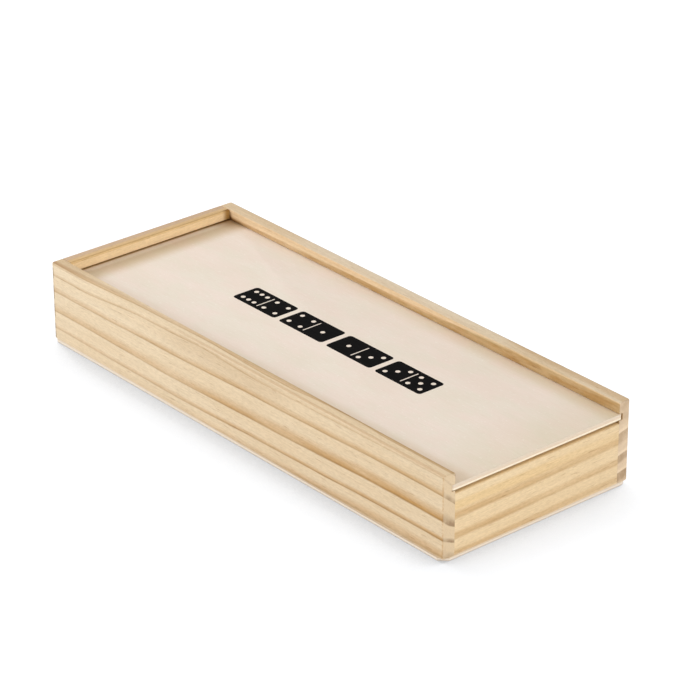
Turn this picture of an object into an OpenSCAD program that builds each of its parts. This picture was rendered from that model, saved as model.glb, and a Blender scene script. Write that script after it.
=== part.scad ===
// Domino storage box: a pine frame on a plywood base, closed by a plywood lid
// that slides in grooves and pulls out over the low front board.
// Millimetres. +X runs along the length to the open end, +Y across, +Z up.
// The origin is on the underside, at the middle of the box.

/* [Box] */
// Outer length, from the back face to the open end
box_l = 200; // [140:1:280]
// Outer width, across the two side boards
box_w = 78; // [50:1:120]
// Height of the side boards and the back board, above the base
wall_h = 28.5; // [18:0.1:60]

/* [Boards] */
// Thickness of the two long side boards
side_t = 4.6; // [3.4:0.1:8]
// Thickness of the back board
back_t = 4.9; // [3.4:0.1:8]
// Thickness of the low front board
front_t = 4.2; // [3.4:0.1:8]
// Rounding of the sanded arrises along the tops of the boards
top_ease = 0.5; // [0.1:0.1:0.8]
// Rounding of the upright outer corners, seen from above
corner_ease = 0.8; // [0.2:0.1:1.5]
// Rounding of the outer arris that stands on the base
seam_ease = 0.2; // [0.1:0.1:0.6]

/* [Base] */
// Thickness of the plywood base
base_t = 1.5; // [1.2:0.1:5]
// How far the base stops short of the boards' outer faces
base_inset = 0.1; // [0:0.1:0.8]
// Radius of the base's corners, seen from above
base_corner_r = 2.6; // [0.5:0.1:4]
// Rounding of the base's arrises
base_ease = 0.3; // [0.1:0.1:0.5]

/* [Lid] */
// Thickness of the plywood lid
lid_t = 2; // [1.5:0.1:3.5]
// Wood left above the lid's groove
lip_h = 3.8; // [2.5:0.1:8]
// Depth of the groove in the side boards and the back board
groove_d = 1.4; // [1:0.1:2.2]
// Running clearance above and below the lid in the side boards
lid_rise_gap = 0.2; // [0.1:0.05:0.4]
// Clearance above the lid in the back board, where the groove is cut wider
back_rise_gap = 0.4; // [0.1:0.05:0.8]
// Clearance between the lid's edges and the bottom of the groove
lid_side_gap = 0.25; // [0.15:0.05:0.6]
// Gap under the lid at the top of the front board
front_gap = 1; // [0.5:0.1:3]
// Radius of the lid's corners, seen from above
lid_corner_r = 0.8; // [0.4:0.1:3]
// Rounding of the lid's arrises
lid_ease = 0.2; // [0.1:0.05:0.4]

/* [Base pins] */
// Shank diameter of a panel pin
pin_d = 1; // [0.8:0.1:1.6]
// Length of a panel pin, head included
pin_len = 12; // [8:0.5:15]
// Diameter of its countersunk head
pin_head_d = 2; // [1.8:0.1:3]
// Height of its countersunk head
pin_head_h = 0.5; // [0.3:0.1:0.8]
// How far the heads are punched in below the base's underside
pin_sink = 0.2; // [0.1:0.05:0.4]
// Pins along each side board
pins_per_side = 4; // [2:1:7]
// Pins along each end board
pins_per_end = 2; // [2:1:4]
// Distance from the outer corner to the first pin of a side board
side_pin_margin = 18; // [10:1:30]
// Distance from the outer corner to the first pin of an end board
end_pin_margin = 16; // [10:1:20]

/* [Hidden] */
$fn = 48;
eps = 0.01;

// Heights above the underside
wall_top = base_t + wall_h;
groove_top = wall_top - lip_h;
groove_h = lid_t + 2 * lid_rise_gap;
groove_bottom = groove_top - groove_h;
lid_bottom = groove_bottom + lid_rise_gap;
back_groove_top = lid_bottom + lid_t + back_rise_gap;
front_top = lid_bottom - front_gap;

// Plan positions of the frame's inner faces
inner_back_x = -box_l / 2 + back_t;
inner_front_x = box_l / 2 - front_t;
inner_y = box_w / 2 - side_t;
inner_w = 2 * inner_y;

// Plan of the lid: its back edge stands in the back board's groove and its
// front edge is flush with the ends of the side boards
lid_back_x = inner_back_x - groove_d + lid_side_gap;
lid_front_x = box_l / 2;
lid_l = lid_front_x - lid_back_x;
lid_w = inner_w + 2 * (groove_d - lid_side_gap);

// Each pin is driven up into the middle of the board above it
side_pin_y = box_w / 2 - side_t / 2;
back_pin_x = -box_l / 2 + back_t / 2;
front_pin_x = box_l / 2 - front_t / 2;
side_pin_pitch = (box_l - 2 * side_pin_margin) / (pins_per_side - 1);
end_pin_pitch = (box_w - 2 * end_pin_margin) / (pins_per_end - 1);

pine = "burlywood";
plywood = "antiquewhite";
steel = "silver";

// The waste that rounding takes off one corner of a section. The corner is at
// the origin and the material lies towards +x and +y.
module corner_waste(r) {
    difference() {
        translate([-eps, -eps]) square(r + eps);
        translate([r, r]) circle(r = r);
    }
}

// Section of a board, stood on its bottom edge with its outer face at x = 0
// and its inner face at x = t. Both top arrises and the outer bottom one are
// sanded round, and the inner bottom one is left square to sit on the base.
module board_section(t, h) {
    difference() {
        square([t, h]);
        translate([0, h]) mirror([0, 1]) corner_waste(top_ease);
        translate([t, h]) rotate(180) corner_waste(top_ease);
        corner_waste(seam_ease);
    }
}

// Section of a sheet, w wide and t thick, with its four arrises sanded round
module sheet_section(w, t, ease) {
    difference() {
        translate([-w / 2, 0]) square([w, t]);
        for (side = [0, 1])
            mirror([side, 0]) {
                translate([-w / 2, 0]) corner_waste(ease);
                translate([-w / 2, t]) mirror([0, 1]) corner_waste(ease);
            }
    }
}

// Flat sheet on z = 0, centred on the origin, with round corners of radius r
module sheet(l, w, t, r, ease) {
    translate([r - l / 2, 0, 0])
        rotate([90, 0, 90]) linear_extrude(l - 2 * r) sheet_section(w, t, ease);
    translate([0, w / 2 - r, 0])
        rotate([90, 0, 0]) linear_extrude(w - 2 * r) sheet_section(l, t, ease);
    for (sx = [-1, 1], sy = [-1, 1])
        translate([sx * (l / 2 - r), sy * (w / 2 - r), 0])
            rotate_extrude() intersection() {
                sheet_section(2 * r, t, ease);
                square([r, t]);
            }
}

// One panel pin, point up, with its head's flat face pin_sink above z = 0
module pin() {
    translate([0, 0, pin_sink])
        rotate_extrude()
            polygon([[0, 0], [pin_head_d / 2, 0], [pin_d / 2, pin_head_h],
                     [pin_d / 2, pin_len - pin_d], [0, pin_len]]);
}

// The pin with the punch hole that is left under its head
module pin_hole() {
    pin();
    translate([0, 0, -eps]) cylinder(d = pin_head_d, h = pin_sink + eps);
}

// Puts its child at every pin of the side boards on one side: -1 left, 1 right
module at_side_pins(side) {
    for (i = [0 : pins_per_side - 1])
        translate([-box_l / 2 + side_pin_margin + i * side_pin_pitch,
                   side * side_pin_y, 0])
            children();
}

// Puts its child at every pin of the end board that is centred on x
module at_end_pins(x) {
    for (i = [0 : pins_per_end - 1])
        translate([x, -box_w / 2 + end_pin_margin + i * end_pin_pitch, 0])
            children();
}

// A side board for the left. Both ends show end grain, and the groove is cut
// from end to end, so that it runs out at the back face too.
module side_board() {
    difference() {
        translate([-box_l / 2, -box_w / 2, base_t])
            rotate([90, 0, 90])
                linear_extrude(box_l) board_section(side_t, wall_h);
        // groove for the lid
        translate([-box_l / 2 - eps, -inner_y - groove_d, groove_bottom])
            cube([box_l + 2 * eps, groove_d + eps, groove_h]);
        for (end = [-1, 1]) {
            // upright outer corner
            translate([end * box_l / 2, -box_w / 2, base_t - eps])
                mirror([end > 0 ? 1 : 0, 0, 0])
                    linear_extrude(wall_h + 2 * eps) corner_waste(corner_ease);
            // arris across the top of the end grain
            translate([end * box_l / 2, -box_w / 2 + side_t + eps, wall_top])
                mirror([end > 0 ? 1 : 0, 0, 0])
                    rotate([90, 0, 0])
                        linear_extrude(side_t + 2 * eps)
                            mirror([0, 1]) corner_waste(top_ease);
        }
        at_side_pins(-1) pin();
    }
}

module side_board_left() {
    color(pine) side_board();
}

module side_board_right() {
    color(pine) mirror([0, 1, 0]) side_board();
}

// Full-height board glued between the side boards, grooved for the lid's edge
module back_board() {
    color(pine) difference() {
        translate([-box_l / 2, inner_y, base_t])
            rotate([90, 0, 0])
                linear_extrude(inner_w) board_section(back_t, wall_h);
        translate([inner_back_x - groove_d, -inner_y - eps, groove_bottom])
            cube([groove_d + eps, inner_w + 2 * eps, back_groove_top - groove_bottom]);
        at_end_pins(back_pin_x) pin();
    }
}

// Low board glued between the side boards, so that the lid passes over it
module front_board() {
    color(pine) difference() {
        translate([box_l / 2, -inner_y, base_t])
            rotate([90, 0, 180])
                linear_extrude(inner_w) board_section(front_t, front_top - base_t);
        at_end_pins(front_pin_x) pin();
    }
}

// Plywood sheet glued and pinned on under the frame
module base_panel() {
    base_l = box_l - 2 * base_inset;
    base_w = box_w - 2 * base_inset;
    color(plywood) difference() {
        sheet(base_l, base_w, base_t, base_corner_r, base_ease);
        for (side = [-1, 1]) {
            at_side_pins(side) pin_hole();
        }
        at_end_pins(back_pin_x) pin_hole();
        at_end_pins(front_pin_x) pin_hole();
    }
}

// Plywood sheet that runs in the grooves
module lid_panel() {
    color(plywood)
        translate([(lid_back_x + lid_front_x) / 2, 0, lid_bottom])
            sheet(lid_l, lid_w, lid_t, lid_corner_r, lid_ease);
}

// All the pins that hold the base to the frame
module base_pins() {
    color(steel) {
        for (side = [-1, 1]) {
            at_side_pins(side) pin();
        }
        at_end_pins(back_pin_x) pin();
        at_end_pins(front_pin_x) pin();
    }
}

side_board_left();
side_board_right();
back_board();
front_board();
base_panel();
lid_panel();
base_pins();
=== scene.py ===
# %% [markdown]
# # A domino storage box
#
# The object is a shallow pine box, 200 mm long, on a base of thin plywood. Its
# lid is a second sheet of plywood that slides in grooves and pulls out over the
# low front board.
#
# The packed CAD model is the frame of this scene. It says where every piece of
# wood is and which body moves, and nothing here moves or resizes it. Each piece
# of wood is modelled again inside its CAD node's box, with sanded arrises, and
# gets a finish made of nodes.

# %% The frame
import math

import bmesh
import bpy
from mathutils import Matrix, Vector


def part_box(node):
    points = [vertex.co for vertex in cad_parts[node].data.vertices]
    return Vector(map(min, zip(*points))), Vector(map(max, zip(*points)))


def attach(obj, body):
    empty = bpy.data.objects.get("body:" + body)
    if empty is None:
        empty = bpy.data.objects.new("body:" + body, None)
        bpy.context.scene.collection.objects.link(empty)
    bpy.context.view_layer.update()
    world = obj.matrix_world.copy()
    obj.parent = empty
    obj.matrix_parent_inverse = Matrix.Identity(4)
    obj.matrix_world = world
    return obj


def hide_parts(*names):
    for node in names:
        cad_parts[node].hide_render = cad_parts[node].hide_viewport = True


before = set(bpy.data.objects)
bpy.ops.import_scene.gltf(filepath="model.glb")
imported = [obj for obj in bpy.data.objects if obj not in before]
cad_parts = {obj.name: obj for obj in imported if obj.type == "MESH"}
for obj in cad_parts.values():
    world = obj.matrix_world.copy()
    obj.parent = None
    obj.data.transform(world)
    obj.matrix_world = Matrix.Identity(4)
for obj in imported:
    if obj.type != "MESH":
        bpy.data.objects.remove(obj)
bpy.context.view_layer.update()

MM = 0.001
for node_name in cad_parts:
    low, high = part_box(node_name)
    print(node_name, "measures", [round((h - l) / MM, 1) for l, h in zip(low, high)], "mm")

# %% [markdown]
# ## The camera
#
# A long lens about 1.1 m away keeps the box's edges almost parallel. A short lens
# close by would show as much of the box, but its near corner would bulge. The
# camera is placed by what it looks at: a point on the table, a direction given
# by two angles, and a distance. Turning it a tenth of a degree about its own
# axis levels the view the way a tripod head would.

# %% The camera
AIM_ON_TABLE = Vector((-28.68, 33.62, 0)) * MM
CAMERA_DISTANCE = 1088.9 * MM
CAMERA_AROUND = math.radians(49.695)   # from the view along +Y, towards +X
CAMERA_ABOVE = math.radians(26.495)
CAMERA_ROLL = math.radians(-0.114)
LENS_MM = 163.63
SENSOR_MM = 36


def direction(around, above):
    """The direction from the table to something seen at these two angles."""
    return Vector((math.sin(around) * math.cos(above),
                   -math.cos(around) * math.cos(above),
                   math.sin(above)))


def add_camera():
    """Adds the camera where the constants above put it."""
    backwards = direction(CAMERA_AROUND, CAMERA_ABOVE)
    data = bpy.data.cameras.new("camera")
    data.lens = LENS_MM
    data.sensor_width = SENSOR_MM
    camera = bpy.data.objects.new("camera", data)
    camera.matrix_world = (Matrix.Translation(AIM_ON_TABLE + backwards * CAMERA_DISTANCE)
                           @ backwards.to_track_quat("Z", "Y").to_matrix().to_4x4()
                           @ Matrix.Rotation(CAMERA_ROLL, 4, "Z"))
    bpy.context.scene.collection.objects.link(camera)
    bpy.context.scene.camera = camera
    return camera


camera = add_camera()
print("camera stands at", [round(c / MM) for c in camera.matrix_world.translation], "mm")

# %% [markdown]
# ## Shader maths
#
# A finish is a graph of nodes, and a graph written node by node is long and hard
# to read. A small class holds an output socket and turns Python's operators into
# Math nodes, so that a pattern can be written as a sum. Reflected forms such as
# __rsub__ let a plain number stand first, as in 1 - mask.

# %% A socket that can be reckoned with
class Wire:
    """An output socket that Python's operators work on."""

    def __init__(self, socket):
        self.socket = socket

    def maths(self, operation, *values, clamp=False):
        """A Math node on these values, in their order."""
        node = self.socket.id_data.nodes.new("ShaderNodeMath")
        node.operation = operation
        node.use_clamp = clamp
        for place, value in enumerate(values):
            feed(node.inputs[place], value)
        return Wire(node.outputs[0])

    def __add__(self, other):
        return self.maths("ADD", self, other)

    def __radd__(self, other):
        return self.maths("ADD", other, self)

    def __sub__(self, other):
        return self.maths("SUBTRACT", self, other)

    def __rsub__(self, other):
        return self.maths("SUBTRACT", other, self)

    def __mul__(self, other):
        return self.maths("MULTIPLY", self, other)

    def __rmul__(self, other):
        return self.maths("MULTIPLY", other, self)

    def __truediv__(self, other):
        return self.maths("DIVIDE", self, other)

    def __rtruediv__(self, other):
        return self.maths("DIVIDE", other, self)

    def __abs__(self):
        return self.maths("ABSOLUTE", self)

    def clamped(self):
        """The same value, held between 0 and 1."""
        return self.maths("ADD", self, 0.0, clamp=True)


def feed(socket, value):
    """Links a wire to an input, or sets the input to a plain value."""
    if isinstance(value, Wire):
        socket.id_data.links.new(value.socket, socket)
    else:
        socket.default_value = value


def srgb(red, green, blue):
    """A colour as a screen shows it, 0 to 255, in the linear values a shader takes.

    A tint that brightens goes past 255.
    """
    shares = (red / 255, green / 255, blue / 255)
    return tuple(s / 12.92 if s <= 0.04045 else ((s + 0.055) / 1.055) ** 2.4
                 for s in shares) + (1.0,)


print("half of a screen's white is", round(srgb(128, 128, 128)[0], 3), "to a shader")

# %% [markdown]
# A finish is one material. Its one general method adds any node from its type,
# its settings and its sockets' values. The others are short names for what wood
# needs again and again: a soft step, a noise stretched along the grain, a mix of
# two colours, and a tint that a mask lays on one part of a board.

# %% A finish
class Finish:
    """One material, and the nodes that feed its Principled shader.

    x, y and z are a point's place in mm, and facing["x"] and its fellows are the
    parts of the direction that the surface faces there.
    """

    def __init__(self, name, constants):
        self.material = bpy.data.materials.new(name)
        self.material.use_nodes = True
        self.nodes = self.material.node_tree.nodes
        self.shader = self.nodes["Principled BSDF"]
        for socket, value in constants.items():
            self.shader.inputs[socket].default_value = value
        self.place = self.node("VectorMath", {"operation": "SCALE"},
                               {0: self.node("TexCoord", out="Object"), "Scale": 1 / MM})
        self.x, self.y, self.z = self.parts("SeparateXYZ", self.place)
        normal = self.node("TexCoord", out="Normal")
        self.facing = dict(zip("xyz", self.parts("SeparateXYZ", normal)))

    def node(self, kind, settings=None, sockets=None, out=0):
        """Adds a node. Its settings come first, then its sockets' values or wires."""
        node = self.nodes.new("ShaderNode" + kind)
        for name, value in (settings or {}).items():
            if name == "stops":
                set_stops(node.color_ramp, value)
            else:
                setattr(node, name, value)
        for name, value in (sockets or {}).items():
            feed(node.inputs[name], value)
        return Wire(node.outputs[out])

    def parts(self, kind, source):
        """The three parts of a vector or a colour, from the Separate node of that kind."""
        node = self.node(kind, {}, {0: source}).socket.node
        return [Wire(output) for output in node.outputs]

    def step(self, value, start, end, low=0.0, high=1.0):
        """Goes smoothly from low to high as value goes from start to end."""
        return self.node("MapRange", {"interpolation_type": "SMOOTHSTEP"},
                         {0: value, 1: start, 2: end, 3: low, 4: high})

    def noise(self, sizes, detail=2.0, roughness=0.5, shift=0.0):
        """Noise whose lumps have about these sizes in mm along X, Y and Z."""
        scaled = self.node("VectorMath", {"operation": "MULTIPLY"},
                           {0: self.place, 1: [1 / s for s in sizes]})
        moved = self.node("VectorMath", {}, {0: scaled, 1: (shift, shift, shift)})
        return self.node("TexNoise", {}, {"Vector": moved, "Scale": 1.0, "Detail": detail,
                                          "Roughness": roughness})

    def mix(self, factor, first, second, blend="MIX"):
        """A colour between two, or one laid on the other by a blend type."""
        return self.node("Mix", {"data_type": "RGBA", "blend_type": blend},
                         {0: factor, 6: first, 7: second}, out=2)

    def times(self, colour, tint):
        """A colour multiplied by a tint."""
        return self.mix(1.0, colour, tint, "MULTIPLY")

    def tinted(self, colour, tints):
        """A colour after its tints. Each is a function that gives a mask, and a colour."""
        for mask, tint in tints:
            colour = self.mix(mask(self), colour, self.times(colour, tint))
        return colour

    def set(self, socket, wire):
        """Feeds one of the shader's inputs."""
        feed(self.shader.inputs[socket], wire)

    def bump(self, height, depth_mm, strength):
        """Raises the surface by up to depth_mm where height is 1."""
        self.set("Normal", self.node("Bump", {}, {"Height": height, "Strength": strength,
                                                  "Distance": depth_mm * MM}))


def set_stops(ramp, stops):
    """Gives a colour ramp its stops, as (position, grey or colour)."""
    while len(ramp.elements) < len(stops):
        ramp.elements.new(1.0)
    for element, (position, colour) in zip(ramp.elements, stops):
        element.position = position
        element.color = colour if hasattr(colour, "__len__") else (colour,) * 3 + (1,)


print("a finish can", ", ".join(name for name in vars(Finish) if name[0] != "_"))

# %% [markdown]
# ## Pine
#
# Pine grows a pale soft layer each spring and a thin brown hard one each summer.
# A board cuts through these layers, so its faces show brown lines that have one
# sharp edge, where growth stopped for the winter, and fade away on the other. On
# an end the same layers show as short marks across the thickness.
#
# Both come from one number, the height of a point in the stack of layers. On a
# face that height rises with Z, and it also rises with the depth into the board,
# so the lines on a face meet the marks on the end at the corner, as they do in
# real wood. A ramp of that height then holds one line for each layer, with its
# strength at one end of the board, and a second ramp has it for the other end. A
# wood texture node would be shorter, but its rings are all alike.

# %% Growth rings
STACK_MM = 40.0                      # a ramp spans the heights from 0 to this
PALE_FROM, PALE_TO = 1.2, 0.5        # the wood pales over this stretch below a ring
EDGE_MM, EDGE_SHARE = 0.5, 0.8       # a sharp edge's depth, at most this share of the full part


def ring_stops(rings, end, soft, body, between):
    """Ramp stops for rings given as (height, width, strength at the low end, at the high end).

    A ring starts within the soft mm below its height. body is where its full
    part ends, as a share of its width, and how strong it still is there. The
    wood between two rings has the strength between, and is palest just below a
    ring. Each stop's red is this strength, and its green marks the ring's sharp
    edge.
    """
    full_share, ebb = body
    stops = [(0.0, between, 0.0)]
    for height, width, *strengths in sorted(rings):
        strength = strengths[end]
        full = full_share * width
        edge = min(EDGE_MM, EDGE_SHARE * full)
        if between:
            stops += [(height - soft - PALE_FROM, between, 0.0),
                      (height - soft - PALE_TO, 0.0, 0.0)]
        stops += [(height - soft, 0.0, 0.0),
                  (height, strength, strength),
                  (height + edge, strength * (1 - (1 - ebb) * edge / full), 0.0),
                  (height + full, strength * ebb, 0.0),
                  (height + width, between, 0.0)]
    return [(height / STACK_MM, (red, green, 0.0, 1.0)) for height, red, green in stops]


print("one ring takes", len(ring_stops([(10, 2, 1, 1)], 0, 0.35, (0.4, 0.7), 0)) - 1, "stops")

# %% [markdown]
# Between the rings the wood isn't plain. Long streaks of tone and fine fibres
# run along the grain, with short dashes of light wood and the brown threads of
# resin canals. Each is a noise stretched along the board, and each has its own
# seed, so that no two boards are alike.

# %% Pine
BOX_HALF_L, BOX_HALF_W = 100.0, 39.0
WANDER_MM = 1.3                      # a ring strays by up to half of this, up or down
END_STRENGTH = 1.2                   # of the rings on end grain, against those on a face
SUMMER_LAYER = srgb(193, 148, 88)
WINTER_EDGE = srgb(138, 108, 70)
DULL_STREAK, DULL_SHARE = srgb(249, 244, 236), 0.5
RESIN_CANAL, CANAL_SHARE, CANAL_SHARE_IN_RING = srgb(168, 124, 80), 0.38, 0.45
OPEN_PORE, PORE_SHARE = srgb(186, 156, 122), 0.2
PINE_RELIEF_MM, PINE_RELIEF_STRENGTH = 0.06, 0.5


def pine(name, along, stack, rings, colours, end_colours, tints, soft=0.35,
         body=(0.4, 0.68), between=0.0, edge_line=0.5, marks=None, seed=0.0):
    """Pine whose grain runs along "x" or "y".

    stack(finish) gives a point's height in the layers in mm. colours are the
    spring wood's at the low and at the high end of the board, and end_colours
    are the spring and the summer wood's on the end grain. edge_line is how dark
    a ring's sharp edge is, and marks(finish) scales the rings on the end grain.
    The rest is as in ring_stops and Finish.tinted.
    """
    f = Finish(name, {"Specular IOR Level": 0.22})
    distance, half_length = (f.x, BOX_HALF_L) if along == "x" else (f.y, BOX_HALF_W)

    def stretched(long_mm, fine_mm):
        return (long_mm, fine_mm, fine_mm) if along == "x" else (fine_mm, long_mm, fine_mm)

    wander = f.noise(stretched(45, 9), 3, 0.5, seed) - 0.5
    height = stack(f) + wander * WANDER_MM
    share = f.step(distance, -half_length, half_length)
    low_end, high_end = (f.node("ValToRGB", {"stops": ring_stops(rings, end, soft, body, between)},
                                {0: height / STACK_MM}) for end in (0, 1))
    ring, edge, _ = f.parts("SeparateColor", f.mix(share, low_end, high_end))
    patchy = f.step(f.noise(stretched(30, 2.5), 3, 0.6, seed + 7.3), 0.25, 0.7, 0.65, 1.2)
    latewood = ring * patchy

    fibre = f.noise(stretched(14, 0.5), 3, 0.65, seed + 3.1)
    dashes = f.noise(stretched(1.6, 0.4), 2, 0.7, seed + 13.9)
    tone = f.noise(stretched(60, 5), 2, 0.5, seed + 11.7)
    canals = f.step(f.noise(stretched(6, 0.4), 1, 0.5, seed + 5.9), 0.66, 0.78)

    colour = f.mix(share, *colours)
    colour = f.mix(f.step(tone, 0.3, 0.7) * DULL_SHARE, colour, f.times(colour, DULL_STREAK))
    colour = f.mix(latewood.clamped(), colour, SUMMER_LAYER)
    colour = f.mix((edge * patchy * edge_line).clamped(), colour, WINTER_EDGE)
    canal_share = latewood * CANAL_SHARE_IN_RING + CANAL_SHARE
    colour = f.mix((canals * canal_share).clamped(), colour, RESIN_CANAL)
    # the two parts add up to about 1, so the fibres leave the average colour as it is
    light = f.step(fibre, 0.25, 0.75, 0.46, 0.545) + f.step(dashes, 0.25, 0.75, 0.43, 0.565)
    # darker fibres are yellower too, so green and blue fall faster than red
    colour = f.times(colour, f.node("CombineColor", {}, {0: light, 1: light * 1.1 - 0.1,
                                                         2: light * 1.35 - 0.35}))

    spring, summer = end_colours
    pores = f.noise((0.45, 0.45, 0.45), 2, 0.6, seed + 1.7)
    end_strength = marks(f) if marks else END_STRENGTH
    end_colour = f.mix((latewood * end_strength).clamped(), spring, summer)
    end_colour = f.mix(f.step(pores, 0.4, 0.75) * PORE_SHARE, end_colour, OPEN_PORE)
    on_end = f.step(abs(f.facing[along]), 0.3, 0.7)
    f.set("Base Color", f.tinted(f.mix(on_end, colour, end_colour), tints))
    f.set("Roughness", f.step(latewood, 0, 1, 0.62, 0.5) + on_end * 0.15)
    f.bump(fibre * 0.6 - canals * 0.4 - on_end * pores * 0.5, PINE_RELIEF_MM,
           PINE_RELIEF_STRENGTH)
    print(name, "has", len(f.nodes), "nodes")
    return f.material


print("a summer layer is", [round(part, 3) for part in SUMMER_LAYER[:3]], "in linear values")

# %% [markdown]
# ### The left board
#
# Its rings climb towards the front by up to four millimetres, because a plank is
# never cut exactly along the tree. Straight rings would need no climb, but the
# board would look printed. X and Y count in mm from the middle of the box, and Z
# from the ground.

# %% The left board's rings
LEFT_RINGS = [(3.4, 1.7, 0.0, 0.67), (7.5, 1.6, 0.42, 1.0), (13.9, 3.3, 0.52, 1.0),
              (21.4, 2.2, 0.58, 0.75), (27.5, 1.0, 0.42, 0.28), (32.3, 2.6, 0.7, 0.5)]


def on_top(f):
    """The faces that look up, and the upper part of each arris beside them."""
    return f.step(f.facing["z"], 0.35, 0.8)


def left_stack(f):
    """The height in the layers. The hump and the notch bend them near the top."""
    inward = f.y + BOX_HALF_W
    climb = f.step(f.x, -45, 95) * f.step(f.z, 0, 7, 0.2, 2.7)
    upper = f.step(f.x, -90, -10) * f.step(f.z, 12, 20, 0.0, 1.2)
    hump = f.step(abs(f.x + 35), 50, 15) * f.step(f.z, 22, 26, 0.0, 1.7)
    notch = on_top(f) * f.step(inward, 1.5, 2.5) * f.step(abs(f.x - 48), 24, 6, 0.0, 1.4)
    return f.z + inward * (0.2 + f.z * 0.035) + 2.0 - climb - upper - hump - notch


print("the left board has", len(LEFT_RINGS), "rings")

# %% [markdown]
# The tints are patches that the rings do not explain, such as a brown line along
# a sanded arris. They could be painted on an image, but a soft mask of where a
# point is and of where it faces stays sharp from close by. Each mask is a small
# function, so that pine() can build it among the nodes of its own material.

# %% Pine for the left board
# The side boards' pine is painted lighter at its back end and darker at its front end: painted
# light and shade for the light falling off along the box.
PAINTED_LIT_PINE, PAINTED_SHADED_PINE = srgb(232, 212, 181), srgb(228, 206, 173)
END_PALE, END_LATE = srgb(225, 201, 166), srgb(164, 136, 104)
WORN_SPOTS = [(26.2, 1.9), (19.0, 2.5), (12.0, 2.3), (6.2, 1.0), (2.8, 1.2)]   # height, reach
SPOT_SOFT = 0.4


def inner_line(f):
    """The line that wanders across the board's top and then keeps to its inner arris."""
    centre = f.step(f.x, -105, -50, -38.4, -35.5) + f.step(f.x, -30, 70, 0, 0.45)
    return (on_top(f) * f.step(abs(f.y - centre), 1.2, 0.3)
            * f.step(abs(f.x + 30), 20, 40, 0.1, 1.0))


def inner_arris(f):
    """The thin dark line right on the inner arris, in the board's front half."""
    return on_top(f) * f.step(f.y, -35.4, -35.0) * f.step(f.x, -30, 0)


def outer_line(f):
    """The line on the top's outer arris, from the middle to the front."""
    return on_top(f) * f.step(f.y, -37.6, -38.2) * f.step(f.x, -40, -15)


def top_back_end(f):
    """The darker back end of the top."""
    return f.step(f.z, 28.9, 29.4) * f.step(f.x, -72, -90)


def upper_patch(f):
    """The darker wood at the middle of the outer face, under its top."""
    return f.step(abs(f.x + 8), 45, 15) * f.step(f.z, 21, 25) * f.step(f.facing["z"], 0.3, 0.1)


def worn_arris(f):
    """Dark end grain that shows through at the back corner, where a ring meets it."""
    near_end = f.step(f.x, -98.7, -99.3) * f.step(f.y, -38.2, -38.6)
    spots = [f.step(abs(f.z - middle), reach + SPOT_SOFT, reach - SPOT_SOFT)
             for middle, reach in WORN_SPOTS]
    return near_end * (sum(spots) + 0.25).clamped()


def upright_line(f):
    """The thin brown line down the rounded corner at the open end."""
    broken = f.step(f.noise((1.5, 1.5, 1.2), 2, 0.7, 6.1), 0.3, 0.6)
    return f.step(abs(f.facing["x"] - 0.5), 0.35, 0.1) * f.step(f.facing["z"], 0.5, 0.2) * broken


def left_seam_painted_shade(f):
    """Painted shade along the bottom of the outer face, at the seam with the base, towards the
    open end.
    """
    return f.step(f.z, 1.95, 1.6) * f.step(f.facing["y"], -0.3, -0.6) * f.step(f.x, -10, 60)


def crescents(f):
    """The marks on the end grain, weaker towards the outer face."""
    return f.step(f.y, -38.7, -36.2, 0.65, 1.15)


pine_left = pine("pine_left_board", "x", left_stack, LEFT_RINGS, (PAINTED_LIT_PINE, PAINTED_SHADED_PINE),
                 (END_PALE, END_LATE),
                 # The tops are painted a little darker: painted shade.
                 [(on_top, srgb(249, 247, 243)),
                  (inner_line, srgb(240, 234, 228)),
                  (top_back_end, srgb(237, 230, 220)),
                  (outer_line, srgb(240, 232, 226)),
                  (worn_arris, srgb(176, 166, 160)),
                  (upright_line, srgb(238, 226, 212)),
                  (upper_patch, srgb(246, 243, 240)),
                  (left_seam_painted_shade, srgb(236, 232, 226)),
                  (inner_arris, srgb(236, 232, 214))],
                 marks=crescents, seed=1.3)

# %% [markdown]
# ### The right board
#
# What shows of it is its top and a strip of its inner face. The lower part of that
# strip is much darker, with redder streaks, and the rest is painted lighter than
# the lamps leave it: painted light. Its stack of layers is upside down, so its
# rings are sharp above and fade away downwards. Its pine keeps some of the rings'
# brown between them, so the lines stand out less.

# %% Pine for the right board
RIGHT_RINGS = [(9.5, 8.0, 0.4, 0.42), (19.8, 4.4, 0.5, 0.5), (27.8, 3.0, 0.6, 0.6),
               (34.0, 3.9, 0.65, 0.65)]


def right_stack(f):
    """The height in the layers, counted downwards."""
    inward = BOX_HALF_W - f.y
    return STACK_MM - f.z - inward * 0.25 + f.step(f.x, -95, 100, -2.0, 0.0)


def inside(f):
    """The faces that look towards the left board."""
    return f.step(f.facing["y"], -0.4, -0.8)


def brown_inside(f):
    """The dark lower part of the inner face, below a line that climbs."""
    line = f.step(f.x, -95, -50, 27.0, 27.9) - f.step(f.x, -20, 5, 0.0, 0.3)
    line = line + f.step(f.x, 5, 45, 0.0, 1.9)
    return inside(f) * f.step(f.z - line, 0.5, -0.2) * f.step(f.x, -75, -10, 0.45, 1.0)


def inside_painted_light(f):
    """The light rest of the inner face, painted lighter than the lamps leave it: painted light."""
    return inside(f) * (1 - brown_inside(f))


def red_streaks(f):
    """Streaks along the grain of the dark part."""
    streaks = f.noise((11, 1.5, 1.5), 3, 0.7, 2.4)
    return brown_inside(f) * f.step(streaks, 0.4, 0.65)


def right_corner_painted_shade(f):
    """Painted shade in the inner corner, where this board meets the back board and the lid's
    corner.
    """
    upright = f.step(f.x, -93.6, -94.9) * f.step(f.z, 30, 26.5, 0.3, 1.0)
    along_lid = f.step(f.x, -80, -94) * f.step(f.z, 27.6, 26.3)
    return inside(f) * f.step(f.z, 29.4, 29.0) * (upright + along_lid).clamped()


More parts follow.
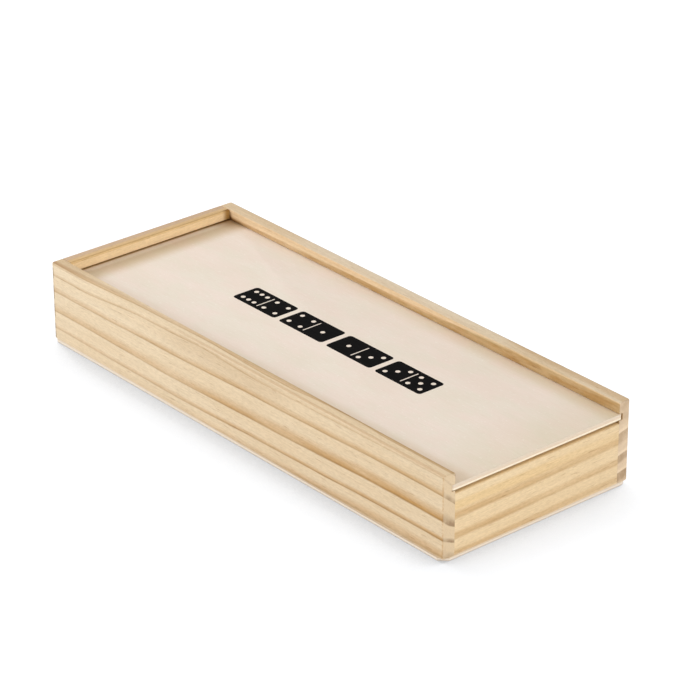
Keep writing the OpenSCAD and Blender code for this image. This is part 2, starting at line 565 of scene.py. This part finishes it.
def top_ends(f):
    """The top's back end, and less so its front half."""
    return on_top(f) * (f.step(f.x, -45, -70) + f.step(f.x, 10, 40) * 0.4)


def top_crossing(f):
    """A ring that crosses the top near the open end."""
    return on_top(f) * f.step(abs(f.x - 63), 24, 6)


def right_outer_arris_painted_shade(f):
    """Painted shade on the sanded arris between the top and the outer face, which turns away from
    the light.
    """
    return f.step(abs(f.y), 38.35, 38.8) * f.step(f.facing["z"], 0.1, 0.4)


pine_right = pine("pine_right_board", "x", right_stack, RIGHT_RINGS, (PAINTED_LIT_PINE, PAINTED_SHADED_PINE),
                  (srgb(240, 216, 185), srgb(166, 136, 102)),
                  [(on_top, srgb(245, 249, 257)),
                   (top_ends, srgb(248, 241, 229)),
                   (top_crossing, srgb(246, 241, 233)),
                   (right_outer_arris_painted_shade, srgb(226, 224, 222)),
                   (inside_painted_light, srgb(264, 257, 247)),
                   (brown_inside, srgb(240, 234, 216)),
                   (red_streaks, srgb(240, 228, 205)),
                   (right_corner_painted_shade, srgb(140, 115, 75))],
                  body=(0.7, 0.9), between=0.18, edge_line=0.0, seed=4.7)

# %% [markdown]
# ### The back board
#
# It runs across the box, so its grain is along Y and its ends are hidden in the
# glued joints. Its pine is painted brighter than the other boards': painted light
# on its shaded inner face. Its top and back face are tinted down again. Its top
# is darker, with a yellower band next to its inner arris.

# %% Pine for the back board
BACK_RINGS = [(3.0, 2.0, 0.5, 0.6), (9.5, 2.5, 0.6, 0.4), (15.6, 2.0, 0.5, 0.6),
              (20.6, 2.2, 0.6, 0.5)]
# The back board's pine is painted brighter than the other boards': painted light on its inner
# face, which stands in shade.
BACK_PINE_PAINTED_LIGHT = srgb(250, 221, 176)


def back_stack(f):
    """Its rings climb by 1.5 mm towards the right."""
    return f.z + (f.x + BOX_HALF_L) * 0.5 - f.step(f.y, -35, 35, 0.0, 1.5)


def back_band(f):
    """The yellower band along the top, next to its inner arris."""
    return on_top(f) * f.step(abs(f.x + 96.1), 1.8, 0.4)


def back_inner_line(f):
    """The brown line on the inner arris."""
    return f.step(f.z, 29.1, 29.4) * f.step(f.x, -95.9, -95.4)


def back_corner_painted_shade(f):
    """Painted shade on the inner face, in the corner next to the right board."""
    return f.step(f.x, -96.0, -95.4) * f.step(f.y, 30.8, 33.4)


def back_outer_arris(f):
    """The greyer arris between the top and the back face."""
    return f.step(f.x, -99.4, -99.8) * f.step(f.facing["z"], 0.1, 0.4)


def back_groove_painted_shade(f):
    """Painted shade inside the lid's groove."""
    return (f.step(f.x, -95.0, -95.5) * f.step(f.x, -98, -97)
            * f.step(abs(f.z - 25.2), 1.5, 1.3))


def back_outside(f):
    """The back face of the box."""
    return f.step(f.facing["x"], -0.85, -0.97)


pine_back = pine("pine_back_board", "y", back_stack, BACK_RINGS, (BACK_PINE_PAINTED_LIGHT, BACK_PINE_PAINTED_LIGHT),
                 (END_PALE, END_LATE),
                 # The top is tinted darker again, past the painted light.
                 [(on_top, srgb(203, 195, 200)),
                  (back_band, srgb(271, 268, 240)),
                  (back_inner_line, srgb(240, 233, 216)),
                  (back_corner_painted_shade, srgb(175, 152, 108)),
                  (back_outer_arris, srgb(215, 216, 222)),
                  (back_groove_painted_shade, srgb(205, 185, 150)),
                  # The back face is tinted back down, off the painted light.
                  (back_outside, srgb(236, 241, 248))],
                 seed=8.2)

# %% [markdown]
# ### The front board
#
# It runs across the box as well. It has three wide soft rings, one of them at its
# bottom, and a haze above the uppermost.

# %% Pine for the front board
FRONT_RINGS = [(1.65, 2.0, 0.56, 0.32), (7.6, 2.3, 0.58, 0.44), (14.4, 2.8, 0.6, 0.46)]
FRONT_PINE = srgb(236, 211, 171)


def front_stack(f):
    """Its rings climb by 0.9 mm towards the right."""
    return f.z + (BOX_HALF_L - f.x) * 0.4 - f.step(f.y, -35, 35, 0.0, 0.9)


def front_haze(f):
    """A pale brown haze above the uppermost ring, weaker towards the right."""
    return f.step(abs(f.z - 18.5), 2.4, 0.8) * f.step(f.y, -10, 32, 1.0, 0.5)


def under_lid_painted_shade(f):
    """Painted shade on the top of the board, right under the lid."""
    return f.step(f.z, 22.2, 22.95)


pine_front = pine("pine_front_board", "y", front_stack, FRONT_RINGS, (FRONT_PINE, FRONT_PINE),
                  (END_PALE, END_LATE),
                  [(front_haze, srgb(250, 243, 227)),
                   (under_lid_painted_shade, srgb(236, 224, 204))],
                  soft=0.9, body=(0.5, 0.9), edge_line=0.2, seed=2.9)

# %% [markdown]
# ## Plywood
#
# The lid and the base are three thin layers glued with the middle one turned
# across. The face veneer is peeled from the log in one long sheet, so it has no
# rings, only a fine silky figure, a faint mottle and a few flecks. On the cut
# edges the layers show as bands, each a colour of its own. The layers could be
# three meshes, but they are glued into one sheet, so one mesh carries a finish
# that knows how high in the sheet a point is.

# %% Plywood
DARK_FIGURE = srgb(246, 241, 234)
MOTTLE = srgb(253, 249, 249), srgb(249, 250, 247)
BROWN_FLECK, FLECK_SHARE = srgb(190, 160, 125), 0.12
PALE_SPECK, SPECK_SHARE = srgb(252, 246, 238), 0.25
TORN_FIBRE, TORN_SHARE = srgb(206, 176, 138), 0.2
LOWER_GLUE, UPPER_GLUE = (0.30, 0.38), (0.62, 0.70)    # as shares of the thickness
SHEET_RELIEF_MM, SHEET_RELIEF_STRENGTH = 0.03, 0.4


def plywood(name, node, face, plies, figure, seed, tints=(), edge_tints=()):
    """Three-ply sheet. plies are its edge colours from the bottom ply to the top one.

    figure is how strong the veneer's figure is. tints are laid on the face and
    edge_tints on the cut edges.
    """
    low, high = (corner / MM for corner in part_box(node))
    f = Finish(name, {"Specular IOR Level": 0.24})
    cloud = f.noise((26, 12, 12), 3, 0.55, seed)
    silk = f.noise((8, 0.45, 0.45), 3, 0.6, seed + 2.2)
    flecks = f.step(f.noise((2.2, 0.35, 0.35), 1, 0.5, seed + 4.1), 0.68, 0.8)
    specks = f.step(f.noise((1.3, 0.8, 0.8), 2, 0.6, seed + 9.3), 0.6, 0.74)
    patches = f.step(f.noise((16, 9, 9), 3, 0.6, seed + 7.7), 0.33, 0.66)
    face = f.times(face, f.mix(patches, *MOTTLE))
    darker = f.times(face, DARK_FIGURE)
    colour = f.mix(f.step(cloud, 0.3, 0.7) * figure, face, darker)
    colour = f.mix(f.step(silk, 0.3, 0.75) * figure, colour, darker)
    colour = f.mix(flecks * FLECK_SHARE, colour, BROWN_FLECK)
    colour = f.mix(specks * SPECK_SHARE, colour, PALE_SPECK)
    colour = f.tinted(colour, tints)

    up = (f.z - low.z) / (high.z - low.z)
    ragged = f.noise((0.5, 0.5, 0.18), 2, 0.6, seed + 6.0)
    edge = f.mix(f.step(up, *LOWER_GLUE), plies[0], plies[1])
    edge = f.mix(f.step(up, *UPPER_GLUE), edge, plies[2])
    edge = f.mix(f.step(ragged, 0.45, 0.8) * TORN_SHARE, edge, TORN_FIBRE)
    edge = f.tinted(edge, edge_tints)
    on_edge = f.step(abs(f.facing["z"]), 0.85, 0.5)
    f.set("Base Color", f.mix(on_edge, colour, edge))
    f.set("Roughness", f.step(silk, 0.3, 0.7, 0.5, 0.58))
    f.bump(silk * 0.5 - flecks * 0.5, SHEET_RELIEF_MM, SHEET_RELIEF_STRENGTH)
    print(name, "has", len(f.nodes), "nodes")
    return f.material


lid_low, lid_high = (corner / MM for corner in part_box("lid_panel"))
print("the lid's three layers make", round(lid_high.z - lid_low.z, 2), "mm")

# %% [markdown]
# The lid is painted darker along three of its edges, where the boards shade it,
# and most of all in its back right corner and where it stands in the back
# groove: painted shade. The base's upper ply gets painted shade under the left
# board and is yellower under the front one.

# %% Plywood for the lid and the base
def lid_edge_painted_shade(f):
    """How much painted shade the lid gets along its back, right and left edges, where the boards
    shade it.
    """
    back = f.step(f.x, -83, -90) * f.step(f.x, -93.5, -91.5, 0.45, 1.0)
    right = f.step(f.y, 26.0, 32.5) * f.step(f.x, -50, 70, 0.1, 0.6)
    left = f.step(f.y, -25.5, -29.5) * f.step(f.x, -30, 70, 0.2, 0.45)
    return (back + right + left).clamped()


def lid_corner_painted_shade(f):
    """Painted shade in the darkest corner, at the back right."""
    return f.step(f.x - f.y, -117, -129)


def lid_groove_painted_shade(f):
    """Painted shade on the back edge, which stands in the back board's groove."""
    return f.step(f.x, -94.2, -95.0)


def lid_front(f):
    """The open end, a little yellower."""
    return f.step(f.x, 74, 102)


def base_left_painted_shade(f):
    """Painted shade on the upper ply under the left board, stronger towards the open end."""
    return f.step(f.z, 0.95, 1.2) * f.step(f.facing["y"], -0.4, -0.8) * f.step(f.x, -50, 60)


def base_front(f):
    """The upper ply under the front board, yellower towards the left."""
    return f.step(f.z, 0.8, 1.1) * f.step(f.facing["x"], 0.4, 0.8) * f.step(f.y, 25, -5)


lid_face = plywood("plywood_lid", "lid_panel", srgb(237, 225, 212),
                   (srgb(255, 240, 214), srgb(232, 211, 186), srgb(229, 212, 191)), 0.35, 3.0,
                   [(lid_edge_painted_shade, srgb(232, 221, 200)),
                    (lid_corner_painted_shade, srgb(192, 172, 138)),
                    (lid_groove_painted_shade, srgb(212, 184, 138)),
                    (lid_front, srgb(247, 246, 238))])
base_face = plywood("plywood_base", "base_panel", srgb(235, 218, 195),
                    (srgb(223, 209, 194), srgb(243, 231, 215), srgb(232, 216, 196)), 0.5, 9.0,
                    edge_tints=[(base_left_painted_shade, srgb(230, 222, 210)),
                                (base_front, srgb(252, 247, 236))])

# %% [markdown]
# ## Working wood
#
# A board could be a cube that is cut and moved into shape. Here it starts as the
# outline of its cross-section, a few vertices and one face, and is extruded to
# its length, which says its faces and its groove in one list. The sharp edges
# that a maker sands are then bevelled, each by its own radius.

# %% Tools for wood
X, Y, Z = 0, 1, 2
SAME_MM = 1e-4                       # places this close count as one
SHARP_ANGLE = 0.5                    # in radians; an edge flatter than this isn't eased
SMOOTH_ANGLE = math.radians(32)      # faces that meet at less than this are shaded as one


def near(value, target):
    """Whether two coordinates in mm are the same."""
    return abs(value - target) < SAME_MM


def both(axis, target):
    """A test for edges whose two ends have the same X, Y or Z, namely target."""
    return lambda a, b: near(a[axis], target) and near(b[axis], target)


def draw_out(bm, faces, path):
    """Extrudes flat faces along a vector into a solid."""
    grown = bmesh.ops.extrude_face_region(bm, geom=faces)["geom"]
    bmesh.ops.translate(bm, vec=path,
                        verts=[g for g in grown if isinstance(g, bmesh.types.BMVert)])


def extruded(outline, path):
    """A solid from a flat outline of corners, drawn out along path."""
    bm = bmesh.new()
    face = bm.faces.new([bm.verts.new(corner) for corner in outline])
    draw_out(bm, [face], path)
    bmesh.ops.recalc_face_normals(bm, faces=bm.faces)
    return bm


def ease(bm, radius, chosen, segments=3):
    """Rounds every sharp edge whose two ends a and b pass the test chosen(a, b)."""
    edges = [e for e in bm.edges if chosen(e.verts[0].co, e.verts[1].co)
             and len(e.link_faces) == 2 and e.calc_face_angle(0) > SHARP_ANGLE]
    bmesh.ops.bevel(bm, geom=edges, offset=radius, offset_type="OFFSET", affect="EDGES",
                    segments=segments, profile=0.5, material=-1, clamp_overlap=True)


def new_piece(name, bm, material, body, node=None):
    """Turns a bmesh in millimetres into a finished piece that rides on a body."""
    bmesh.ops.scale(bm, vec=(MM, MM, MM), verts=bm.verts)
    bmesh.ops.remove_doubles(bm, verts=bm.verts, dist=SAME_MM * MM)
    bmesh.ops.recalc_face_normals(bm, faces=bm.faces)
    mesh = bpy.data.meshes.new(name)
    bm.to_mesh(mesh)
    bm.free()
    mesh.materials.append(material)
    mesh.shade_smooth()
    mesh.set_sharp_from_angle(angle=SMOOTH_ANGLE)
    piece = bpy.data.objects.new(name, mesh)
    bpy.context.scene.collection.objects.link(piece)
    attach(piece, body)
    if node:
        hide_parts(node)
    print(name, "has", len(mesh.polygons), "faces")


block = extruded([(0, 0, 0), (3, 0, 0), (3, 2, 0), (0, 2, 0)], (0, 0, 1))
ease(block, 0.2, both(Z, 1))
print("a plain block with its top eased has", len(block.faces), "faces")
block.free()

# %% [markdown]
# ### The side boards
#
# They are the long sides of the frame, grooved from end to end on their inner
# faces for the lid. A groove could be cut with a boolean, but that leaves faces
# that bevel badly. Here it is part of the cross-section, as if a plough plane
# had cut it. The inner arris at the bottom stays square, where the board sits on
# the base.

# %% The side boards
TOP_EASE = 0.5                       # round the top
CORNER_EASE = 0.8                    # the upright outer corners
SEAM_EASE = 0.2                      # the outer arris on the base
LIP_EASE = 0.15                      # the groove's upper arris
GROOVE_LOW, GROOVE_HIGH = 23.8, 26.1
GROOVE_DEPTH = 1.4


def add_side_board(node, side, material):
    """side is -1 for the left board and 1 for the right one."""
    low, high = (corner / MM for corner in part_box(node))
    outer = side * BOX_HALF_W
    inner = low.y if side > 0 else high.y
    bottom = inner + side * GROOVE_DEPTH
    profile = [(outer, low.z), (inner, low.z), (inner, GROOVE_LOW), (bottom, GROOVE_LOW),
               (bottom, GROOVE_HIGH), (inner, GROOVE_HIGH), (inner, high.z), (outer, high.z)]
    bm = extruded([(low.x, y, z) for y, z in profile], (high.x - low.x, 0, 0))
    ease(bm, CORNER_EASE, lambda a, b: both(Y, outer)(a, b) and near(a.x, b.x))
    ease(bm, TOP_EASE, both(Z, high.z))
    ease(bm, SEAM_EASE, lambda a, b: both(Z, low.z)(a, b)
         and not near(a.y, inner) and not near(b.y, inner))
    ease(bm, LIP_EASE, lambda a, b: both(Z, GROOVE_HIGH)(a, b) and both(Y, inner)(a, b))
    new_piece(node.replace("board", "plank"), bm, material, "box", node)


add_side_board("side_board_left", -1, pine_left)
add_side_board("side_board_right", 1, pine_right)

# %% [markdown]
# ### The back and front boards
#
# The back board has a groove too, cut wider, so that a dark line shows above the
# lid's back edge. The front board is low and plain, and stops under the lid.
# Both are glued between the side boards, and the upright arrises of their outer
# faces are eased by a hair, which is the fine line that a glued butt joint shows.
# They could share the side boards' function with X and Y exchanged, but their
# arrises differ, so one of their own reads more easily.

# %% The back and front boards
BACK_GROOVE_HIGH = 26.4
JOINT_EASE = 0.12                    # the upright arrises beside a glued joint


def add_end_board(node, side, grooved, material):
    """side is -1 for the back board and 1 for the front one."""
    low, high = (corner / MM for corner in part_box(node))
    outer, inner = (high.x, low.x) if side > 0 else (low.x, high.x)
    profile = [(outer, low.z), (inner, low.z)]
    if grooved:
        bottom = inner + side * GROOVE_DEPTH
        profile += [(inner, GROOVE_LOW), (bottom, GROOVE_LOW), (bottom, BACK_GROOVE_HIGH),
                    (inner, BACK_GROOVE_HIGH)]
    profile += [(inner, high.z), (outer, high.z)]
    bm = extruded([(x, low.y, z) for x, z in profile], (0, high.y - low.y, 0))
    ease(bm, TOP_EASE, both(Z, high.z))
    ease(bm, SEAM_EASE, lambda a, b: both(Z, low.z)(a, b) and both(X, outer)(a, b))
    ease(bm, JOINT_EASE, lambda a, b: both(X, outer)(a, b) and near(a.y, b.y))
    if grooved:
        ease(bm, LIP_EASE, lambda a, b: both(Z, BACK_GROOVE_HIGH)(a, b) and both(X, inner)(a, b))
    new_piece(node.replace("board", "plank"), bm, material, "box", node)


add_end_board("back_board", -1, True, pine_back)
add_end_board("front_board", 1, False, pine_front)

# %% [markdown]
# ### The sheets
#
# The two plywood sheets are cut to size, their corners are taken off and their
# arrises are rubbed down. A bevel of one segment cuts a corner off straight, as
# a quick pass over a belt sander does to the base's front left one, and a bevel
# of several rounds it, as all the others are.

# %% The sheets
ROUND, STRAIGHT = 6, 1               # segments of a corner
BASE_CORNERS = [(1.6, ROUND), (2.7, STRAIGHT), (2.6, ROUND), (1.6, ROUND)]
BASE_ARRISES = 0.35, 0.2
LID_CORNERS = [(0.8, ROUND)] * 4
LID_ARRISES = 0.12, 0.15


def add_sheet(node, name, corners, arrises, material, body):
    """corners are the size and the segments of the back left corner, then of the front
    left, the front right and the back right one. arrises are the rounding at the
    underside and the one at the top.
    """
    low, high = (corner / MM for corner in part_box(node))
    plan = [(low.x, low.y), (high.x, low.y), (high.x, high.y), (low.x, high.y)]
    bm = extruded([(x, y, low.z) for x, y in plan], (0, 0, high.z - low.z))
    for (x, y), (size, segments) in zip(plan, corners):
        ease(bm, size, lambda a, b: both(X, x)(a, b) and both(Y, y)(a, b), segments)
    for level, radius in zip((low.z, high.z), arrises):
        ease(bm, radius, both(Z, level))
    new_piece(name, bm, material, body, node)


add_sheet("base_panel", "base_sheet", BASE_CORNERS, BASE_ARRISES, base_face, "box")
add_sheet("lid_panel", "lid_sheet", LID_CORNERS, LID_ARRISES, lid_face, "lid")

# %% [markdown]
# ## The print on the lid
#
# The lid carries a plain print of four domino tiles laid end to end, so that
# touching halves match as they do in the game. Screen ink is a few hundredths of
# a millimetre thick. The print could be an image, but its edges would blur from
# close by. So each tile is one outline with a hole for its bar and for every
# pip, filled flat and given that thickness, and the wood shows through the holes.

# %% The printed tiles
INK_THICKNESS = 0.03
INK_BOTTOM = lid_high.z - 0.01       # a third of the ink is in the wood
TILE_L, TILE_W = 22.0, 11.0
TILE_R, TILE_GAP = 1.2, 2.2
BAR_L, BAR_W = TILE_W * 0.72, 0.5
BAR_R = 0.2
PIP_R, PIP_PITCH = 0.85, 2.9
CORNER_SEGMENTS, PIP_SEGMENTS = 6, 24
PRINT_X, PRINT_Y = 2.0, 1.5
TILES = [(6, 4), (4, 1), (1, 3), (3, 5)]
PIPS = {1: [(0, 0)], 3: [(-1, -1), (0, 0), (1, 1)],
        4: [(-1, -1), (-1, 1), (1, -1), (1, 1)],
        5: [(-1, -1), (-1, 1), (0, 0), (1, -1), (1, 1)],
        6: [(-1, -1), (0, -1), (1, -1), (-1, 1), (0, 1), (1, 1)]}


def rounded_loop(bm, x, length, width, radius):
    """A closed loop of edges round a rectangle with round corners, centred on x."""
    corners = [bm.verts.new((x + sx * length / 2, PRINT_Y + sy * width / 2, 0))
               for sx, sy in ((-1, -1), (1, -1), (1, 1), (-1, 1))]
    for i, corner in enumerate(corners):
        bm.edges.new((corners[i - 1], corner))
    bmesh.ops.bevel(bm, geom=corners, offset=radius, offset_type="OFFSET",
                    affect="VERTICES", segments=CORNER_SEGMENTS, profile=0.5, material=-1)


def tile_row():
    """All the tiles as one bmesh, in mm."""
    bm = bmesh.new()
    pitch = TILE_L + TILE_GAP
    first = PRINT_X - pitch * (len(TILES) - 1) / 2
    for i, halves in enumerate(TILES):
        x = first + i * pitch
        rounded_loop(bm, x, TILE_L, TILE_W, TILE_R)
        rounded_loop(bm, x, BAR_W, BAR_L, BAR_R)
        for side, count in zip((-1, 1), halves):
            middle = x + side * TILE_L / 4
            for px, py in PIPS[count]:
                centre = (middle + px * PIP_PITCH, PRINT_Y + py * PIP_PITCH, 0)
                bmesh.ops.create_circle(bm, segments=PIP_SEGMENTS, radius=PIP_R,
                                        matrix=Matrix.Translation(centre))
    bmesh.ops.triangle_fill(bm, use_beauty=True, use_dissolve=False, edges=bm.edges)
    draw_out(bm, bm.faces[:], (0, 0, INK_THICKNESS))
    bmesh.ops.translate(bm, vec=(0, 0, INK_BOTTOM), verts=bm.verts)
    return bm


ink = Finish("printing_ink", {"Specular IOR Level": 0.02})
grain_through = ink.noise((6, 0.4, 0.4), 2, 0.6, 5.0)
ink.set("Base Color", ink.mix(ink.step(grain_through, 0.55, 0.85) * 0.35,
                              srgb(4, 3, 3), srgb(22, 18, 15)))
ink.set("Roughness", ink.step(grain_through, 0.3, 0.8, 0.5, 0.7))
new_piece("lid_tile_print", tile_row(), ink.material, "lid")

# %% [markdown]
# ## The panel pins
#
# The pins hold the base on, and only their heads show, from underneath. They
# could be turned again from a profile, but the CAD node has their shape already,
# so it stays and gets a finish: bright steel with fine scratches.

# %% The pins
steel = Finish("pin_steel", {"Metallic": 1.0})
scratch = steel.noise((0.15, 0.5, 0.5), 2, 0.6, 1.0)
steel.set("Base Color", steel.mix(steel.step(scratch, 0.3, 0.7), srgb(196, 196, 194),
                                  srgb(168, 168, 168)))
steel.set("Roughness", steel.step(scratch, 0.3, 0.7, 0.3, 0.45))
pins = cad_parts["base_pins"]
pins.data.materials.clear()
pins.data.materials.append(steel.material)
print("the pins have", len(pins.data.polygons), "faces from the CAD model")

# %% [markdown]
# ## The table
#
# The box stands on a white sheet of paper. To the light that bounces off it, the
# sheet is plain white paper. To the camera it is a darker paper with a glow of
# its own. The two together come out white away from the box, and the lamps' own
# shadows stay faint, which on one plain white material they would not. The glow
# fades where the box is near, and that is the soft part of the shadow. Ambient
# occlusion finds how near it is, with rays around one direction: up, and back to
# the box from in front of the left and the front board.

# %% The table
TABLE_HALF, TABLE_SQUARES = 3.0, 8   # metres, and squares along one side
PAPER_WHITE = srgb(246, 246, 246)
PAPER_SEEN = 0.285, 0.3, 0.325, 1.0
BLACK = 0, 0, 0, 1
NOOK_REACH = 26 * MM
NOOK_SAMPLES = 16
TOWARDS_BOX = {0: -0.56, 1: 0.64, 2: 0.53}
SHADOW_GLOW = [(0.38, 0.33), (0.41, 0.41), (0.44, 0.52), (0.47, 0.61), (0.50, 0.645),
               (0.60, 0.685), (0.73, 0.73), (1.0, 0.85)]


def background_rays(nodes):
    """1 for a ray that shows the background: one that the camera, a gloss or a glass sends."""
    path = nodes.new("ShaderNodeLightPath")
    camera, glossy, through = (Wire(path.outputs["Is %s Ray" % kind])
                               for kind in ("Camera", "Glossy", "Transmission"))
    return (camera + glossy + through).clamped()


def add_table():
    """Lays the sheet of paper on the level that the box stands on."""
    bm = bmesh.new()
    bmesh.ops.create_grid(bm, x_segments=TABLE_SQUARES, y_segments=TABLE_SQUARES,
                          size=TABLE_HALF)
    mesh = bpy.data.meshes.new("table")
    bm.to_mesh(mesh)
    bm.free()
    paper = Finish("white_paper", {"Roughness": 0.9, "Specular IOR Level": 0.1})
    seen = background_rays(paper.nodes)
    nook = paper.node("AmbientOcclusion", {"samples": NOOK_SAMPLES},
                      {"Distance": NOOK_REACH,
                       "Normal": paper.node("CombineXYZ", {}, TOWARDS_BOX)}, out="AO")
    glow = paper.node("ValToRGB", {"stops": SHADOW_GLOW}, {0: nook})
    paper.set("Base Color", paper.mix(seen, PAPER_WHITE, PAPER_SEEN))
    paper.set("Emission Color", paper.mix(seen, BLACK, glow))
    paper.set("Emission Strength", 1.0)
    mesh.materials.append(paper.material)
    table = bpy.data.objects.new("table", mesh)
    bpy.context.scene.collection.objects.link(table)


add_table()
print("the table is", 2 * TABLE_HALF, "m wide, and its glow has", len(SHADOW_GLOW), "stops")

# %% [markdown]
# ## The light
#
# It is the soft, even light of a small studio tent: a bright surrounding and
# four broad lamps. One hangs overhead, one stands behind the box, one lights the
# left board and one the open end. A picture of a studio wrapped round the scene
# would do as well, but four lamps can be set one by one. The tent lights the box
# at half the brightness that it shows to the camera.

# %% The world and the lamps
TENT_LIGHT = 0.5
WHITE = 1, 1, 1, 1
LAMPS = [("overhead", 0, 90, 1.3, 1.0, 0.05),
         ("behind", -90, 30, 1.4, 0.6, 0.36),
         ("left", -18, 25, 1.5, 1.0, 0.33),
         ("front", 90, 30, 1.5, 1.0, 0.39)]


def add_world(strength):
    """White to the camera, and this strong as a light."""
    world = bpy.data.worlds.new("tent")
    bpy.context.scene.world = world
    world.use_nodes = True
    background = world.node_tree.nodes["Background"]
    background.inputs["Color"].default_value = WHITE
    seen = background_rays(world.node_tree.nodes)
    feed(background.inputs["Strength"], seen * (1 - strength) + strength)


def add_lamp(name, around, above, distance, size, share):
    """A square lamp that faces the box, placed by two angles in degrees and a distance in metres.

    A white card that faces it beside the box looks share bright.
    """
    backwards = direction(math.radians(around), math.radians(above))
    data = bpy.data.lights.new(name, "AREA")
    data.shape = "SQUARE"
    data.size = size
    data.energy = share * (math.pi * distance) ** 2
    lamp = bpy.data.objects.new(name, data)
    lamp.matrix_world = (Matrix.Translation(backwards * distance)
                         @ backwards.to_track_quat("Z", "Y").to_matrix().to_4x4())
    bpy.context.scene.collection.objects.link(lamp)
    print("the", name, "lamp gives", round(data.energy, 1), "W")


add_world(TENT_LIGHT)
for lamp_values in LAMPS:
    add_lamp(*lamp_values)
bpy.context.scene.view_settings.view_transform = "Standard"

# %% [markdown]
# ## Sizes
#
# The visual model has to stay inside the CAD model's box.
